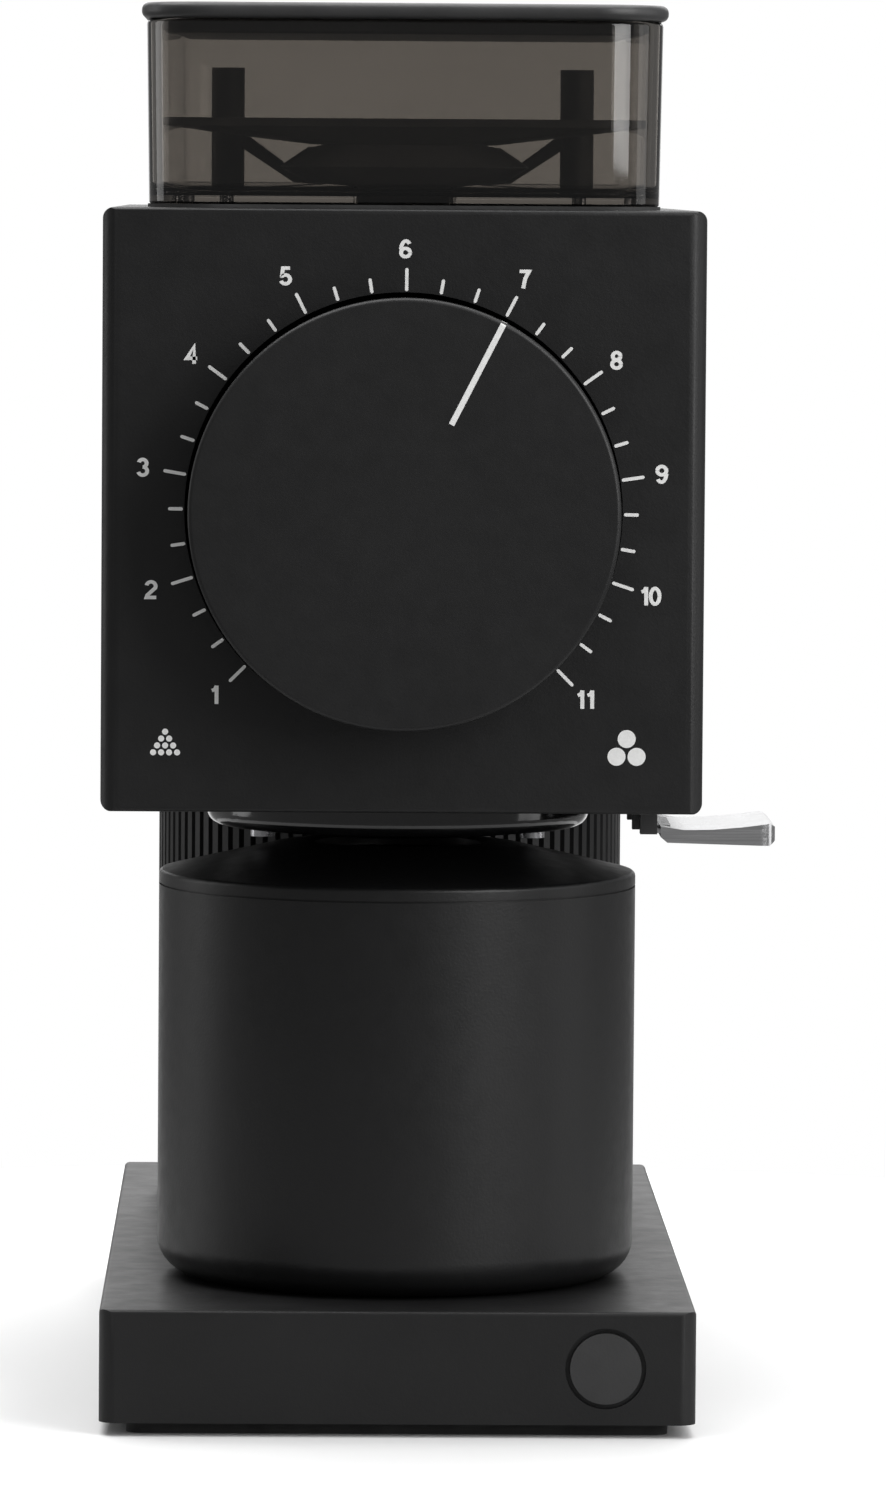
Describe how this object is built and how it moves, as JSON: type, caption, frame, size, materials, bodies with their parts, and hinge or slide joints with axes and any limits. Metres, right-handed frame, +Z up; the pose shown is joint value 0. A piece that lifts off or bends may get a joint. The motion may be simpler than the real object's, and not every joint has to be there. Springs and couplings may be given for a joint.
{
  "type": "burr coffee grinder",
  "caption": "Electric flat-burr coffee grinder: square head with a front grind dial, smoked hopper, ribbed column, base and a loose grounds cup.",
  "frame": {"origin": "centre of the base footprint, on the table under the foot pad", "axes": "+X to the user's right, +Y to the back, +Z up; the dial faces -Y"},
  "size_m": [0.1199, 0.24, 0.2503],
  "materials": {
    "powder_coat": "matte black powder coat",
    "dial_coat": "soft matte black paint",
    "cup_coat": "satin black coat",
    "white_inlay": "white",
    "rubber": "matte black",
    "black_plastic": "fine moulded black",
    "gloss_black": "polished black",
    "smoked_clear": "smoked clear",
    "polished_steel": "polished",
    "bright_steel": "bright",
    "spring_steel": "drawn wire",
    "dark_steel": "oiled dark",
    "lamination_steel": "stacked laminations",
    "cast_aluminium": "fine cast",
    "machined_steel": "machined",
    "burr_steel": "ground and cut",
    "copper_winding": "enamelled copper",
    "circuit_board": "solder mask"
  },
  "bodies": {
    "frame": {"foot_pad": "rubber", "bottom_plate": "dark_steel", "base_shell": "powder_coat", "base_magnet": "bright_steel", "countersunk_screws": "bright_steel", "column_housing": "powder_coat", "column_cap": "powder_coat", "housing_screws": "bright_steel", "cord_gland": "black_plastic", "control_board": "circuit_board", "power_module": "black_plastic", "run_capacitor": "cast_aluminium", "head_housing": "powder_coat", "front_plate": "powder_coat", "grind_chamber": "cast_aluminium", "guide_pins": "bright_steel", "wave_spring": "spring_steel", "motor_flange": "cast_aluminium", "motor_can": "dark_steel", "stator_core": "lamination_steel", "stator_windings": "copper_winding", "motor_end_bell": "cast_aluminium", "motor_bolts": "bright_steel", "bearing_outer_rings": "bright_steel", "detent_ball": "bright_steel", "detent_spring": "spring_steel", "chute_spout": "black_plastic", "chute_ring": "gloss_black", "chute_screws": "bright_steel", "hopper_gasket": "rubber", "hopper_shell": "smoked_clear", "hopper_funnel": "black_plastic", "hopper_screws": "bright_steel", "knocker_bracket": "black_plastic", "knocker_pin": "bright_steel", "knocker_spring": "spring_steel", "start_switch": "black_plastic", "button_spring": "spring_steel"},
    "button": {"start_button": "black_plastic"},
    "dial": {"dial_knob": "dial_coat", "pointer_inlay": "white_inlay", "dial_hub": "cast_aluminium", "hub_clip": "bright_steel"},
    "burr_slider": {"outer_burr_carrier": "machined_steel", "outer_burr": "burr_steel", "outer_burr_screws": "dark_steel"},
    "rotor": {"drive_shaft": "bright_steel", "inner_burr_carrier": "machined_steel", "inner_burr": "burr_steel", "inner_burr_screws": "dark_steel", "feed_auger": "machined_steel", "auger_bolt": "bright_steel", "rotor_core": "lamination_steel", "rotor_fan": "black_plastic", "bearing_inner_rings": "bright_steel"},
    "lid": {"hopper_lid": "black_plastic", "lid_gasket": "rubber"},
    "knocker": {"knocker_lever": "polished_steel"},
    "cup": {"cup_body": "cup_coat", "cup_lid": "cup_coat"}
  },
  "joints": [
    {"name": "dial_turn", "type": "hinge", "parent": "frame", "child": "dial", "pos_m": [0, -0.12, 0.1621], "axis": [0, 1, 0], "range_deg": [-162, 108]},
    {"name": "burr_adjust", "type": "slide", "parent": "frame", "child": "burr_slider", "axis": [0, 1, 0], "range_m": [-0.00046, 0.00069], "deforming": ["wave_spring"]},
    {"name": "rotor_spin", "type": "hinge", "parent": "frame", "child": "rotor", "pos_m": [0, -0.05, 0.1621], "axis": [0, 1, 0], "continuous": true},
    {"name": "lid_lift", "type": "slide", "parent": "frame", "child": "lid", "axis": [0, 0, 1], "range_m": [0, 0.05]},
    {"name": "cup_slide", "type": "slide", "parent": "frame", "child": "cup", "axis": [0, -1, 0], "range_m": [0, 0.115]},
    {"name": "knocker_press", "type": "hinge", "parent": "frame", "child": "knocker", "pos_m": [0.0443, -0.06, 0.1059], "axis": [0, 1, 0], "range_deg": [0, 14], "stiffness_Nm_per_rad": 0.3, "springref_deg": -8.59, "deforming": ["knocker_spring"]},
    {"name": "button_press", "type": "slide", "parent": "frame", "child": "button", "axis": [0, 1, 0], "range_m": [0, 0.002], "stiffness_N_per_m": 400, "springref_m": -0.001, "deforming": ["button_spring"]}
  ],
  "couplings": [
    {"joint": "burr_adjust", "follows": "dial_turn", "m_per_rad": -0.00023873}
  ]
}
